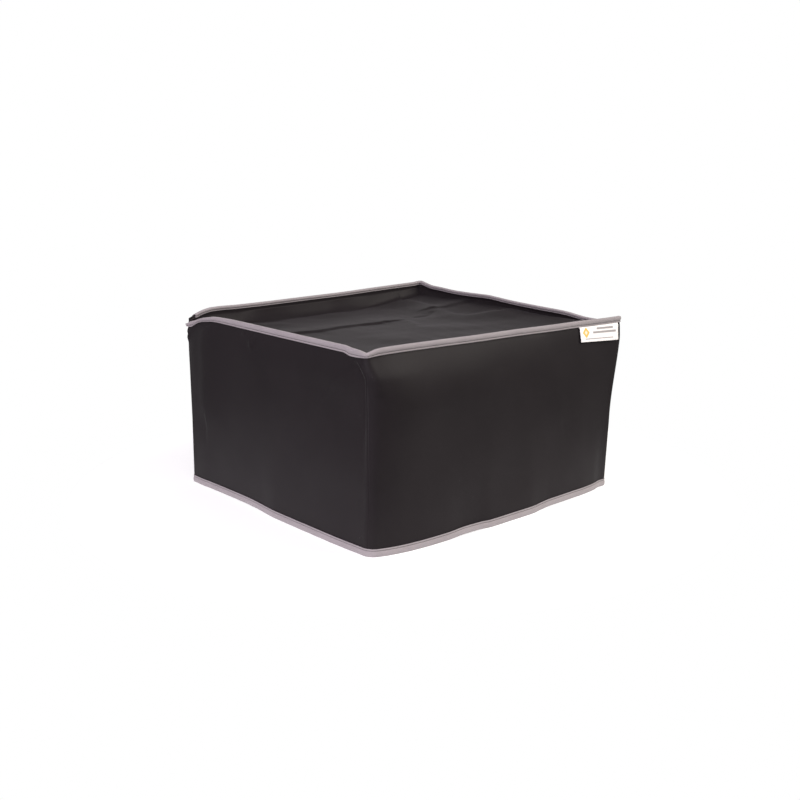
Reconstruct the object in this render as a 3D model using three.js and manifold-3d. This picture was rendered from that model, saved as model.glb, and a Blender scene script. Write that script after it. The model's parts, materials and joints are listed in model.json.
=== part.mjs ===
// A fabric dust cover for a desktop printer: a sunken top panel and four wall panels of coated nylon, a binding
// tape folded over the seam round the top, a second tape folded over the hem, the sewing threads, and a woven
// label that hangs from the top seam at the front right corner.
// Millimetres, +Z up, the front faces -Y, and the origin is the middle of the footprint on the desk.
import * as THREE from "three";
import { mergeVertices } from "three/addons/utils/BufferGeometryUtils.js";
import Module from "manifold-3d";

const wasm = await Module();
wasm.setup();

// Driving dimensions. WIDTH and DEPTH are between the wall panels' outer faces, HEIGHT is to the top of the rim.
const WIDTH = 470;
const DEPTH = 430;
const HEIGHT = 266;
const FABRIC = 1; // one layer of nylon
const TAPE = 0.8; // one layer of binding tape
const GAP = 0.3; // between layers that touch
const RIM_TAPE_HEIGHT = 9;
const HEM_TAPE_HEIGHT = 11;
const RIM_RADIUS = 8; // corner radius in plan, at the rim
const SHOULDER_FOOT = 205; // where each upright corner is as round as it gets
const HEM_RADIUS = 9; // at the hem
const TOP_REST_HEIGHT = 238; // underside of the flat middle of the top panel
const TOP_SLOPE_RUN = 26; // width of the sloping border round that flat middle
const SEAM_ALLOWANCE = 8; // the fabric turned inside at each upright corner seam
const SEAM_DEPTH = 4; // from the wall's inner face to the thread of its corner seam
const THREAD = 0.7; // diameter
const STITCH_SETBACK = 2.6; // from the tape's edge to the stitching
const LABEL_WIDTH = 89;
const LABEL_HEIGHT = 20;
const LABEL_THICKNESS = 0.6;
const LABEL_TILT = 0.035; // radians from the tape, down to the right
const LABEL_DROP = 1.3; // below the tape's edge

const HALF_WIDTH = WIDTH / 2;
const HALF_DEPTH = DEPTH / 2;
const RIM_TAPE_FOOT = HEIGHT - RIM_TAPE_HEIGHT;
const RIM_CORE_TOP = HEIGHT - TAPE - GAP; // top of the fabric inside the rim's tape
const ARC_STEPS = 2; // per half corner
const SIDE_STEPS = 8; // per straight side
const THREAD_SIDES = 6;

// The four corners, anticlockwise from the front left, with the walls' largest radius in plan. The loose fabric leans
// out by this much at the rim and at the hem, which fades over LEAN_REACH.
const CORNERS = [
  { name: "front_left", x: -1, y: -1, radius: 21, rim: [0, 4], foot: [0, 0] },
  { name: "front_right", x: 1, y: -1, radius: 6, rim: [14, 0], foot: [-5, 0] },
  { name: "back_right", x: 1, y: 1, radius: 9, rim: [0, 0], foot: [0, 0] },
  { name: "back_left", x: -1, y: 1, radius: 6, rim: [0, 0], foot: [0, 0] },
];
const LEAN_REACH = 120;
const LEAN_WAIST = 100; // the height below which the rim's lean has died out, and above which the hem's has

// The wall panels, in the same order, each with the length of its side. Towards its first and its second corner it
// would bulge outwards by these two amounts at the hem, and by the shoulder's two just below the rim. The rim line
// lists how far the rim's edge stands above HEIGHT at distances along the side from its first corner.
const WALLS = [
  {
    name: "front_wall", x: 0, y: -1, length: WIDTH, bulge: [23, 11], shoulder: [6, 0],
    rimLine: [[0, -3], [24, 2], [111, 1.7], [200, -0.3], [340, -2.8], [430, -5], [470, -5.2]],
  },
  {
    name: "right_wall", x: 1, y: 0, length: DEPTH, bulge: [3, 7], shoulder: [1, 3],
    rimLine: [[0, -5.2], [50, -12], [98, -6], [200, -2.6], [254, 0.5], [330, 0], [391, 2.2], [430, 7]],
  },
  {
    name: "back_wall", x: 0, y: 1, length: WIDTH, bulge: [11, 17], shoulder: [3, 3],
    rimLine: [[0, 7], [40, 5.3], [112, 4], [262, 1.8], [427, 1.5], [470, -10]],
  },
  {
    name: "left_wall", x: -1, y: 0, length: DEPTH, bulge: [0, 2], shoulder: [4, 3],
    rimLine: [[0, -10], [40, -5], [80, 0.5], [120, 2], [400, 2], [430, -3]],
  },
];
const BULGE_POWER = 1.3; // how the bulge fades from the hem up to the rim
const SHOULDER_DROP = 45; // how far below the rim's tape the shoulder has come out

const { clamp, lerp, smoothstep } = THREE.MathUtils;

// The height that a rim line gives at a distance along its side, eased between its points.
function rimHeight(line, along) {
  const next = line.findIndex(([distance]) => distance > along);
  if (next < 1) return line.at(next).at(1);
  const [from, low] = line[next - 1];
  const [to, high] = line[next];
  return lerp(low, high, smoothstep(along, from, to));
}

// Where the drape of the fabric carries a point of the square cover.
function drape(x, y, z) {
  const moved = new THREE.Vector3(x, y, z);
  const insetOf = (wall) => (wall.x ? HALF_WIDTH - wall.x * x : HALF_DEPTH - wall.y * y);
  for (const wall of WALLS) {
    const centred = clamp((wall.x * y - wall.y * x) / (wall.length / 2), -1, 1);
    const near = (1 - centred ** 4) * (1 - smoothstep(insetOf(wall), 20, 80));
    const share = (centred + 1) / 2;
    const fall = RIM_TAPE_FOOT - z;
    const bulge = lerp(...wall.bulge, share) * Math.max(0, 1 - z / HEIGHT) ** BULGE_POWER;
    const comeOut = smoothstep(fall, 3, SHOULDER_DROP) * Math.min(1, z / RIM_TAPE_FOOT);
    const shoulder = lerp(...wall.shoulder, share) * comeOut;
    moved.x += wall.x * (bulge + shoulder) * near;
    moved.y += wall.y * (bulge + shoulder) * near;
  }
  const nearest = WALLS.reduce((best, wall) => (insetOf(wall) < insetOf(best) ? wall : best));
  const along = nearest.length / 2 + (nearest.x * y - nearest.y * x);
  const atEdge = 1 - smoothstep(insetOf(nearest), 4, 18);
  const high = smoothstep(z, LEAN_WAIST, RIM_TAPE_FOOT);
  moved.z += rimHeight(nearest.rimLine, along) * high * atEdge;
  for (const corner of CORNERS) {
    const away = Math.hypot(x - corner.x * HALF_WIDTH, y - corner.y * HALF_DEPTH);
    const fade = Math.max(0, 1 - away / LEAN_REACH) ** 2;
    const low = Math.max(0, 1 - z / LEAN_WAIST);
    moved.x += (corner.rim[0] * high + corner.foot[0] * low) * fade;
    moved.y += (corner.rim[1] * high + corner.foot[1] * low) * fade;
  }
  return moved;
}

function cornerRadius(corner, z) {
  const opened = lerp(HEM_RADIUS, corner.radius, smoothstep(z, HEM_TAPE_HEIGHT, LEAN_WAIST));
  return lerp(opened, RIM_RADIUS, smoothstep(z, SHOULDER_FOOT, RIM_TAPE_FOOT));
}

// Points on one side of the square outline, from the middle of corner k's arc to the middle of the next one's.
// inset is measured inwards from the wall's outer face; endGap is left open at each end.
function outlineSide(k, inset, z, endGap = 0) {
  const facing = -Math.PI / 2 + (k * Math.PI) / 2; // the direction this side faces
  const arc = (corner, from, to) => {
    const radius = Math.max(0.4, cornerRadius(corner, z) - inset);
    const half = Math.PI / 4 - endGap / radius;
    const found = [];
    for (let i = 0; i <= ARC_STEPS; i++) {
      const angle = facing + half * lerp(from, to, i / ARC_STEPS);
      found.push([
        corner.x * (HALF_WIDTH - inset - radius) + radius * Math.cos(angle),
        corner.y * (HALF_DEPTH - inset - radius) + radius * Math.sin(angle),
      ]);
    }
    return found;
  };
  const points = arc(CORNERS[k], -1, 0);
  const rest = arc(CORNERS[(k + 1) % CORNERS.length], 0, 1);
  const [x0, y0] = points[points.length - 1];
  const [x1, y1] = rest[0];
  for (let i = 1; i < SIDE_STEPS; i++) {
    const t = i / SIDE_STEPS;
    points.push([lerp(x0, x1, t), lerp(y0, y1, t)]);
  }
  return points.concat(rest);
}

// The whole outline as one closed ring of points, draped.
function ring(inset, z) {
  const points = [];
  for (let k = 0; k < CORNERS.length; k++)
    points.push(...outlineSide(k, inset, z).slice(0, -1));
  return points.map(([x, y]) => drape(x, y, z));
}

// A closed solid from rings of points, each joined to the next. With closed, the last ring joins the first;
// otherwise the first and last rings are capped. Its faces point outwards whichever way the rings were listed.
function stack(rings, closed = false) {
  const count = rings[0].length;
  const points = rings.flat();
  const faces = [];
  const last = closed ? rings.length : rings.length - 1;
  for (let j = 0; j < last; j++)
    for (let i = 0; i < count; i++) {
      const a = j * count + i;
      const b = j * count + ((i + 1) % count);
      const above = ((j + 1) % rings.length) * count;
      const c = above + ((i + 1) % count);
      const d = above + i;
      faces.push([a, b, c], [a, c, d]);
    }
  if (!closed) {
    faces.push(...capFaces(0, count, false));
    faces.push(...capFaces(last * count, count, true));
  }
  return solidOf(points, faces);
}

// The faces that fill one ring, zipped across from its start, and wound the way the ring runs or against it.
function capFaces(start, count, alongRing) {
  const faces = [];
  for (let i = 0; i < count / 2 - 1; i++) {
    const [a, b, c, d] = [i, i + 1, count - 2 - i, count - 1 - i].map((n) => start + n);
    if (alongRing) faces.push([a, b, c], [a, c, d]);
    else faces.push([a, c, b], [a, d, c]);
  }
  return faces;
}

// Builds the geometry, turning all its faces round if they point inwards.
function solidOf(points, faces) {
  const volume = faces.reduce((sum, [a, b, c]) => {
    const side = new THREE.Vector3().crossVectors(points[b], points[c]);
    return sum + points[a].dot(side);
  }, 0);
  const index = volume < 0 ? faces.map(([a, b, c]) => [a, c, b]) : faces;
  const geometry = new THREE.BufferGeometry().setFromPoints(points);
  geometry.setIndex(index.flat());
  return geometry;
}

function toManifold(geometry) {
  const merged = mergeVertices(geometry, 1e-4);
  return new wasm.Manifold(
    new wasm.Mesh({
      numProp: 3,
      vertProperties: merged.attributes.position.array,
      triVerts: new Uint32Array(merged.index.array),
    }),
  );
}

function fromManifold(solid) {
  const mesh = solid.getMesh();
  const geometry = new THREE.BufferGeometry();
  geometry.setAttribute("position", new THREE.BufferAttribute(mesh.vertProperties, 3));
  geometry.setIndex(new THREE.BufferAttribute(mesh.triVerts, 1));
  return geometry;
}

const SEAM_LEVELS = [HEM_TAPE_HEIGHT + 2, 50, 95, 140, 180, SHOULDER_FOOT, 225, 241];

// One wall panel: a sheet from inside the hem's tape up into the rim's tape, with a seam allowance at each end.
function wallGeometry(k) {
  const levels = [TAPE + GAP, ...SEAM_LEVELS, RIM_TAPE_FOOT - 2, RIM_CORE_TOP];
  const sheet = stack(
    levels.map((z) => {
      const outer = outlineSide(k, 0, z, GAP / 2);
      const inner = outlineSide(k, FABRIC, z, GAP / 2);
      return outer.concat(inner.reverse()).map(([x, y]) => drape(x, y, z));
    }),
  );
  let panel = toManifold(sheet);
  for (const [corner, side] of [[k, 1], [(k + 1) % CORNERS.length, -1]])
    panel = panel.add(toManifold(allowanceGeometry(CORNERS[corner], side)));
  return fromManifold(panel);
}

// The middle of a corner's arc on the walls' outer face, and the directions inwards and along the seam's plane.
function seamPlace(corner, z) {
  const radius = cornerRadius(corner, z);
  const inward = new THREE.Vector2(-corner.x, -corner.y).normalize();
  const place = new THREE.Vector2(corner.x * HALF_WIDTH, corner.y * HALF_DEPTH);
  place.addScaledVector(inward, radius * (Math.SQRT2 - 1));
  const across = new THREE.Vector2(-inward.y, inward.x);
  return { place, inward, across };
}

// A seam allowance: a strip that runs inwards along the corner's diagonal. side is 1 on the anticlockwise side.
function allowanceGeometry(corner, side) {
  return stack(
    SEAM_LEVELS.map((z) => {
      const { place, inward, across } = seamPlace(corner, z);
      const near = -side * GAP;
      const far = near - side * FABRIC;
      const at = (deep, aside) => {
        const p = place.clone().addScaledVector(inward, deep).addScaledVector(across, aside);
        return drape(p.x, p.y, z);
      };
      const root = FABRIC * 0.5;
      return [at(root, near), at(SEAM_ALLOWANCE, near), at(SEAM_ALLOWANCE, far), at(root, far)];
    }),
  );
}

// The thread of an upright corner seam, on the allowance's face just inside the corner.
function seamThreadGeometry(corner) {
  const aside = GAP + FABRIC + GAP + THREAD / 2;
  return stack(
    SEAM_LEVELS.map((z) => {
      const { place, inward, across } = seamPlace(corner, z);
      const middle = place.addScaledVector(inward, FABRIC + SEAM_DEPTH).addScaledVector(across, aside);
      return threadSection(middle, z);
    }),
  );
}

function threadSection(middle, z) {
  const found = [];
  for (let i = 0; i < THREAD_SIDES; i++) {
    const angle = (2 * Math.PI * i) / THREAD_SIDES;
    const x = middle.x + (THREAD / 2) * Math.cos(angle);
    const y = middle.y + (THREAD / 2) * Math.sin(angle);
    found.push(drape(x, y, z));
  }
  return found;
}

// The top panel: its edge stands up inside the rim's tape, then it slopes down to a flat middle.
function topPanelGeometry() {
  const edge = FABRIC + GAP;
  const bend = RIM_TAPE_FOOT - 2;
  const fall = bend - TOP_REST_HEIGHT;
  const run = TOP_SLOPE_RUN;
  const underside = [
    [edge + run, TOP_REST_HEIGHT],
    [edge + run * 0.55, TOP_REST_HEIGHT + fall * 0.15],
    [edge + run * 0.25, TOP_REST_HEIGHT + fall * 0.5],
    [edge + 1.5, bend - 1.5],
    [edge, bend],
    [edge, RIM_CORE_TOP],
  ];
  const topside = [
    [edge + FABRIC, RIM_CORE_TOP],
    [edge + FABRIC, bend + FABRIC * 0.4],
    [edge + 1.5 + FABRIC * 0.7, bend - 1.5 + FABRIC * 0.8],
    [edge + run * 0.25 + FABRIC * 0.5, TOP_REST_HEIGHT + fall * 0.5 + FABRIC],
    [edge + run * 0.55 + FABRIC * 0.3, TOP_REST_HEIGHT + fall * 0.15 + FABRIC],
    [edge + run + FABRIC * 0.1, TOP_REST_HEIGHT + FABRIC],
  ];
  return stack([...underside, ...topside].map(([inset, z]) => ring(inset, z)));
}

// A tape folded over an edge: a channel that runs all the way round. core is the thickness of fabric it holds,
// fold is the height of the fold and lip that of its two free edges.
function bindingGeometry(core, fold, lip) {
  const inward = fold > lip ? -TAPE : TAPE;
  const outer = -GAP;
  const inner = core + GAP;
  const profile = [
    [outer - TAPE, lip],
    [outer - TAPE, fold],
    [inner + TAPE, fold],
    [inner + TAPE, lip],
    [inner, lip],
    [inner, fold + inward],
    [outer, fold + inward],
    [outer, lip],
  ];
  return stack(profile.map(([inset, z]) => ring(inset, z)), true);
}

// A line of stitching that runs all the way round, at one height and inset.
function threadLoopGeometry(inset, z) {
  const profile = [];
  for (let i = 0; i < THREAD_SIDES; i++) {
    const angle = (2 * Math.PI * i) / THREAD_SIDES;
    profile.push([inset + (THREAD / 2) * Math.cos(angle), z + (THREAD / 2) * Math.sin(angle)]);
  }
  return stack(profile.map(([at, height]) => ring(at, height)), true);
}

// The label hangs at the rim tape's lower edge, just outside the tape's face. It ends at the front right corner, and
// its top left corner is the one that touches the tape.
function placeLabel(mesh) {
  const face = -HALF_DEPTH - GAP - TAPE;
  const right = drape(HALF_WIDTH - 1, face, RIM_TAPE_FOOT);
  const left = drape(HALF_WIDTH - 1 - LABEL_WIDTH, face, RIM_TAPE_FOOT);
  mesh.rotation.y = Math.atan2(left.z - right.z, right.x - left.x) + LABEL_TILT;
  const clear = Math.min(left.y, right.y) - GAP - LABEL_THICKNESS / 2;
  const corner = new THREE.Vector3(-LABEL_WIDTH / 2, 0, LABEL_HEIGHT / 2).applyEuler(mesh.rotation);
  mesh.position.set(right.x - LABEL_WIDTH / 2, clear, left.z - LABEL_DROP - corner.z);
}

const nylon = () => new THREE.MeshStandardMaterial({ color: 0x2b2829, roughness: 0.62, metalness: 0 });
const tape = () => new THREE.MeshStandardMaterial({ color: 0x8f8889, roughness: 0.8, metalness: 0 });
const greyThread = () => new THREE.MeshStandardMaterial({ color: 0x6e6869, roughness: 0.7, metalness: 0 });
const blackThread = () => new THREE.MeshStandardMaterial({ color: 0x1d1b1c, roughness: 0.7, metalness: 0 });
const satin = () => new THREE.MeshStandardMaterial({ color: 0xf1edea, roughness: 0.55, metalness: 0 });

const cover = new THREE.Group();

function part(name, geometry, material) {
  const mesh = new THREE.Mesh(geometry, material);
  mesh.name = name;
  cover.add(mesh);
  return mesh;
}

part("top_panel", topPanelGeometry(), nylon());
WALLS.forEach((wall, k) => part(wall.name, wallGeometry(k), nylon()));

const rimCore = 2 * FABRIC + GAP;
part("top_binding", bindingGeometry(rimCore, HEIGHT, RIM_TAPE_FOOT), tape());
part("hem_binding", bindingGeometry(FABRIC, 0, HEM_TAPE_HEIGHT), tape());

const outerLine = -GAP - TAPE - GAP - THREAD / 2;
const innerLine = (core) => core + GAP + TAPE + GAP + THREAD / 2;
const rimStitch = RIM_TAPE_FOOT + STITCH_SETBACK;
const hemStitch = HEM_TAPE_HEIGHT - STITCH_SETBACK;
part("top_outer_thread", threadLoopGeometry(outerLine, rimStitch), greyThread());
part("top_inner_thread", threadLoopGeometry(innerLine(rimCore), rimStitch), greyThread());
part("hem_outer_thread", threadLoopGeometry(outerLine, hemStitch), greyThread());
part("hem_inner_thread", threadLoopGeometry(innerLine(FABRIC), hemStitch), greyThread());
for (const corner of CORNERS)
  part(`${corner.name}_seam_thread`, seamThreadGeometry(corner), blackThread());

placeLabel(part("label", new THREE.BoxGeometry(LABEL_WIDTH, LABEL_THICKNESS, LABEL_HEIGHT), satin()));

// The origin is the middle of the footprint, so the loose fabric's own middle is brought to it.
const reach = new THREE.Box3().setFromObject(cover);
cover.position.set(-(reach.min.x + reach.max.x) / 2, -(reach.min.y + reach.max.y) / 2, 0);

export default cover;
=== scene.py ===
"""A fabric dust cover for a desktop printer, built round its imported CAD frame.

Four wall panels and a sunken top panel of black coated nylon are sewn together at the corners and bound with
grey tape round the rim and the hem. A woven label hangs from the rim at the front right corner. The front
faces -Y.

Shapes are worked out in millimetres on a square cover, drape() then carries them to where the loose fabric
hangs, and solid() turns them into metres in the CAD frame.
"""

import json
import math

import bpy
import numpy as np
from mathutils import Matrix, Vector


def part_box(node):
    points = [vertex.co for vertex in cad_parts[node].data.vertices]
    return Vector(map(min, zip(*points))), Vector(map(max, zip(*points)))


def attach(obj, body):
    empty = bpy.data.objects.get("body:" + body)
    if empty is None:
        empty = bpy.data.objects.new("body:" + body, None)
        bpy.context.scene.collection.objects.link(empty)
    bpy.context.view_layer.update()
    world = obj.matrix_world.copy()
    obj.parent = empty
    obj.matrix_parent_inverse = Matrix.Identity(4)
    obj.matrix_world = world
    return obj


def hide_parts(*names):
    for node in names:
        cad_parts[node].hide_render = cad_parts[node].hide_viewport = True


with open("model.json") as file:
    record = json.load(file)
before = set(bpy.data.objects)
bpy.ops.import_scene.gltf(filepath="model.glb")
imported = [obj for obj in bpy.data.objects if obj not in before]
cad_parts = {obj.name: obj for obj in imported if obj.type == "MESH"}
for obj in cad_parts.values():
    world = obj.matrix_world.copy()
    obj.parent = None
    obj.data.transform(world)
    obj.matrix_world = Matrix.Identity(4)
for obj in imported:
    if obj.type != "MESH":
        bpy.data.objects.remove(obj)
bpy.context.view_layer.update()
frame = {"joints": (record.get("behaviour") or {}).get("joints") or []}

# The square cover, in millimetres.
WIDTH = 470
DEPTH = 430
HEIGHT = 266  # to the top of the rim
HALF_WIDTH = WIDTH / 2
HALF_DEPTH = DEPTH / 2
FABRIC = 0.9  # thickness of the nylon
RIM_TAPE_FOOT = 257  # where the rim's tape ends on the wall
RIM_EDGE = 264.9  # top edge of the fabric inside the rim's tape
HEM_EDGE = 1.1  # lower edge of the fabric inside the hem's tape
HEM_TAPE_TOP = 11
TOP_REST_HEIGHT = 239  # topside of the flat middle of the top panel
SEAM_ALLOWANCE = 8  # fabric turned inside at each upright corner seam
SEAM_GAP = 0.15  # from the seam's middle to each of its two layers
SEAM_BEND = 1.6  # how far the turned-in layers lie over to one side at their free edge
SMALLEST_RADIUS = 0.4  # of a corner in plan
STITCH_PITCH = 3.2
STITCH_LENGTH = 2.5
STITCH_RADIUS = 0.3
METRE = 0.001  # millimetres to metres

# The corners, anticlockwise from the front left. Each has the way it points, its radius in plan at the rim,
# down the wall and at the hem, and turn, which is how far its seam has turned round it (in radians, at the
# hem, down the wall and below the rim). lean, hip and foot are how far the fabric comes out along X and Y at
# the rim, below the rim's tape and at the hem.
CORNERS = [
    {
        "name": "front_left", "x": -1, "y": -1, "rim": 5, "wall": 8, "hem": 10, "turn": (0.28, 0.45, 0.3),
        "lean": (0, 4), "hip": (0, -9), "foot": (0, 0),
    },
    {
        "name": "front_right", "x": 1, "y": -1, "rim": 4, "wall": 5, "hem": 5, "turn": (0, 0, 0),
        "lean": (17, 0), "hip": (3.5, 0), "foot": (-5, 0),
    },
    {
        "name": "back_right", "x": 1, "y": 1, "rim": 6, "wall": 9, "hem": 9, "turn": (0, 0, 0),
        "lean": (0, 0), "hip": (0, 0), "foot": (0, 0),
    },
    {
        "name": "back_left", "x": -1, "y": 1, "rim": 5, "wall": 5, "hem": 6, "turn": (0, 0, 0),
        "lean": (0, 0), "hip": (0, 0), "foot": (-2, 0),
    },
]
LEAN_REACH = 120  # how far from a corner its lean, hip and foot still move the fabric
LEAN_WAIST = 100  # the height at which a corner's lean from above and its foot from below have faded
HIP_DROP = 30  # how far below the rim's tape a corner has come out by its hip

FRONT, RIGHT, BACK, LEFT = range(4)
# The walls, in that order. Each has the way it faces. bulge and shoulder are how far it comes out at the
# hem and below the rim, towards its first and its second corner, and drop is how far below the rim's tape the
# shoulder is full. rim_line is how far the rim stands above HEIGHT, along the wall. sway is how far the hem
# wanders, along the wall: a part of it goes outwards, and the rest takes away from the hem's small lift.
WALLS = [
    {
        "name": "front_wall", "x": 0, "y": -1, "length": WIDTH,
        "bulge": (21.5, 9.5), "shoulder": (27, 3), "drop": 78,
        "rim_line": [
            (0, 0.6), (12, 1.5), (24, 2.0), (44, 2.2), (111, 1.4), (183, -0.3), (259, -1.3), (341, -3.2),
            (384, -3.8), (428, -5.2), (470, -6),
        ],
        "sway": [
            (0, 0), (34, 1.7), (76, 0.9), (119, -0.4), (150, -4.5), (178, -2.4), (200, 3), (241, 4.3),
            (276, 5.8), (307, -0.8), (324, -3.6), (342, -3.4), (377, -2.6), (413, -0.5), (432, -0.8),
            (450, -4), (470, 0),
        ],
    },
    {
        "name": "right_wall", "x": 1, "y": 0, "length": DEPTH,
        "bulge": (3, 7), "shoulder": (1, 3), "drop": 45, "flop": 0.45,
        "rim_line": [
            (0, -6), (10, -11), (25, -13.5), (50, -12.1), (65, -10), (81, -7.4), (98, -6), (148, -4.5),
            (200, -2.6), (236, -0.3), (254, 0.7), (311, -0.1), (330, 0), (370, 1.8), (391, 2.4), (430, 7),
        ],
        "sway": [(0, 0), (120, 3), (260, -3), (430, 0)],
    },
    {
        "name": "back_wall", "x": 0, "y": 1, "length": WIDTH,
        "bulge": (11, 17), "shoulder": (3, 3), "drop": 45,
        "rim_line": [
            (0, 7), (21, 5.6), (40, 5.3), (112, 4), (181, 2.4), (262, 1.8), (340, 1.2), (384, 1.3), (413, 2),
            (427, 1.8), (441, -0.2), (455, -4.5), (470, -10),
        ],
        "sway": [(0, 0), (90, -3), (190, 4), (300, -2), (390, 2), (470, 0)],
    },
    {
        "name": "left_wall", "x": -1, "y": 0, "length": DEPTH,
        "bulge": (-1.5, 0.5), "shoulder": (11, 5), "drop": 45,
        "rim_line": [
            (0, -18.5), (11, -14), (21, -11.8), (33, -8), (44, -5.2), (60, -2.3), (74, 0), (100, 1.4),
            (137, 2.1), (250, 1.9), (384, 2), (399, 0.4), (412, 0.2), (430, 0.6),
        ],
        "sway": [
            (0, 0), (34, 1.5), (58, 0.2), (103, -0.8), (146, -1.6), (187, 1.3), (227, 8), (266, 7.4),
            (303, 6), (356, 4.6), (407, 1), (430, 0),
        ],
    },
]
BULGE_POWER = 1.3  # how much of a bulge is kept near the hem: 1 would let it grow evenly all the way down
BULGE_FADE = (20, 80)  # how far in from a wall what moves the wall fades
RIM_FADE = (4, 18)  # how far in from a wall the line of its rim fades
FLOP_FADE = (10, 40)  # how far in from a wall its flop fades
SWAY_REACH = 150  # how far up a wall its hem's sway reaches
SWAY_SPARE = 2  # how far the spare cloth makes the hem stand out in the middle of every wall
SWAY_OUT = 0.4  # the part of the sway that goes outwards
SWAY_UP = 0.3  # how far the hem lifts, for each millimetre of spare cloth less the rest of the sway
FLOP_FOOT = 248  # a wall's flop is how far its rim leans inwards, for each millimetre above this height
PINCH = 0.45  # the part of its height that the rim's tape loses where the front left corner pinches it
PINCH_REACH = 10  # how far from the corner the pinch has faded to about a third
PINCH_POWER = 1.4

random = np.random.default_rng(11)


# ---- Shape -------------------------------------------------------------------


def mix(low, high, share):
    return low + (high - low) * share


def smoothstep(value, low, high):
    share = np.clip((value - low) / (high - low), 0, 1)
    return share * share * (3 - 2 * share)


def hump(value, middle, spread):
    """1 at the middle, fading on both sides."""
    return np.exp(-(((value - middle) / spread) ** 2))


def line_at(line, along):
    """The value of a line of (distance, value) points, curving smoothly through them without overshooting."""
    distance, value = np.array(line, float).T
    rise = np.diff(value) / np.diff(distance)
    product = rise[:-1] * rise[1:]
    total = rise[:-1] + rise[1:]
    slope = np.zeros(len(line))
    slope[1:-1] = np.where(product > 0, 2 * product / np.where(product > 0, total, 1), 0)
    after = np.clip(np.searchsorted(distance, along, side="right"), 1, len(line) - 1)
    before = after - 1
    span = distance[after] - distance[before]
    share = np.clip((along - distance[before]) / span, 0, 1)
    leaving = share * (1 - share) ** 2 * span * slope[before]
    arriving = share**2 * (share - 1) * span * slope[after]
    return mix(value[before], value[after], share * share * (3 - 2 * share)) + leaving + arriving


def drape(points, sway=1.0):
    """Where the drape of the fabric carries points of the square cover."""
    x, y, z = np.moveaxis(np.asarray(points, float), -1, 0)
    moved = np.stack([x, y, z], axis=-1)
    insets = [np.where(wall["x"], HALF_WIDTH - wall["x"] * x, HALF_DEPTH - wall["y"] * y) for wall in WALLS]
    nearest = np.argmin(insets, axis=0)
    high = smoothstep(z, LEAN_WAIST, RIM_TAPE_FOOT)
    low = np.maximum(0, 1 - z / LEAN_WAIST)
    bulging = np.maximum(0, 1 - z / HEIGHT) ** BULGE_POWER
    swaying = sway * np.maximum(0, 1 - z / SWAY_REACH) ** 1.5
    above_hem = np.minimum(1, z / RIM_TAPE_FOOT)
    for k, (wall, inset) in enumerate(zip(WALLS, insets)):
        from_middle = wall["x"] * y - wall["y"] * x
        centred = np.clip(from_middle / (wall["length"] / 2), -1, 1)
        share = (centred + 1) / 2
        outside = 1 - smoothstep(inset, *BULGE_FADE)
        to_come = np.clip(1 - (RIM_TAPE_FOOT - z) / wall["drop"], 0, 1)
        come_out = (1 - to_come**2) * above_hem
        out = mix(*wall["bulge"], share) * bulging * (1 - centred**4)
        out = out + mix(*wall["shoulder"], share) * come_out * (1 - centred**10)
        along = wall["length"] / 2 + from_middle
        line = line_at(wall["sway"], along)
        spare = SWAY_SPARE * (1 - centred**4)
        out = (out + (spare + SWAY_OUT * line) * swaying) * outside
        moved[..., 2] += SWAY_UP * np.maximum(0, spare - (1 - SWAY_OUT) * line) * swaying * outside
        moved[..., 0] += wall["x"] * out
        moved[..., 1] += wall["y"] * out
        at_edge = 1 - smoothstep(inset, *RIM_FADE)
        lift = line_at(wall["rim_line"], along) * high * at_edge
        moved[..., 2] += np.where(nearest == k, lift, 0)
        flopped = wall.get("flop", 0) * np.maximum(0, z - FLOP_FOOT) * (1 - centred**6)
        flopped = flopped * (1 - smoothstep(inset, *FLOP_FADE))
        moved[..., 0] -= wall["x"] * flopped
        moved[..., 1] -= wall["y"] * flopped
    hips = smoothstep(RIM_TAPE_FOOT - z, 1, HIP_DROP) * above_hem
    pinched = np.exp(-((np.hypot(x + HALF_WIDTH, y + HALF_DEPTH) / PINCH_REACH) ** PINCH_POWER))
    moved[..., 2] -= PINCH * pinched * np.maximum(0, z - RIM_TAPE_FOOT)
    for corner in CORNERS:
        away = np.hypot(x - corner["x"] * HALF_WIDTH, y - corner["y"] * HALF_DEPTH)
        fade = np.maximum(0, 1 - away / LEAN_REACH) ** 2
        for axis in range(2):
            moved[..., axis] += (corner["lean"][axis] * high + corner["foot"][axis] * low) * fade
            moved[..., axis] += corner["hip"][axis] * hips * fade
    return moved


def corner_radius(corner, z):
    opened = mix(corner["hem"], corner["wall"], smoothstep(z, HEM_TAPE_TOP, 100))
    return mix(opened, corner["rim"], smoothstep(z, 222, RIM_TAPE_FOOT + 1))


def seam_turn(corner, z):
    """How far round its corner, clockwise, a seam lies from the corner's middle."""
    low, middle, high = corner["turn"]
    return mix(mix(low, middle, smoothstep(z, 50, 180)), high, smoothstep(z, 238, 254))


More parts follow.
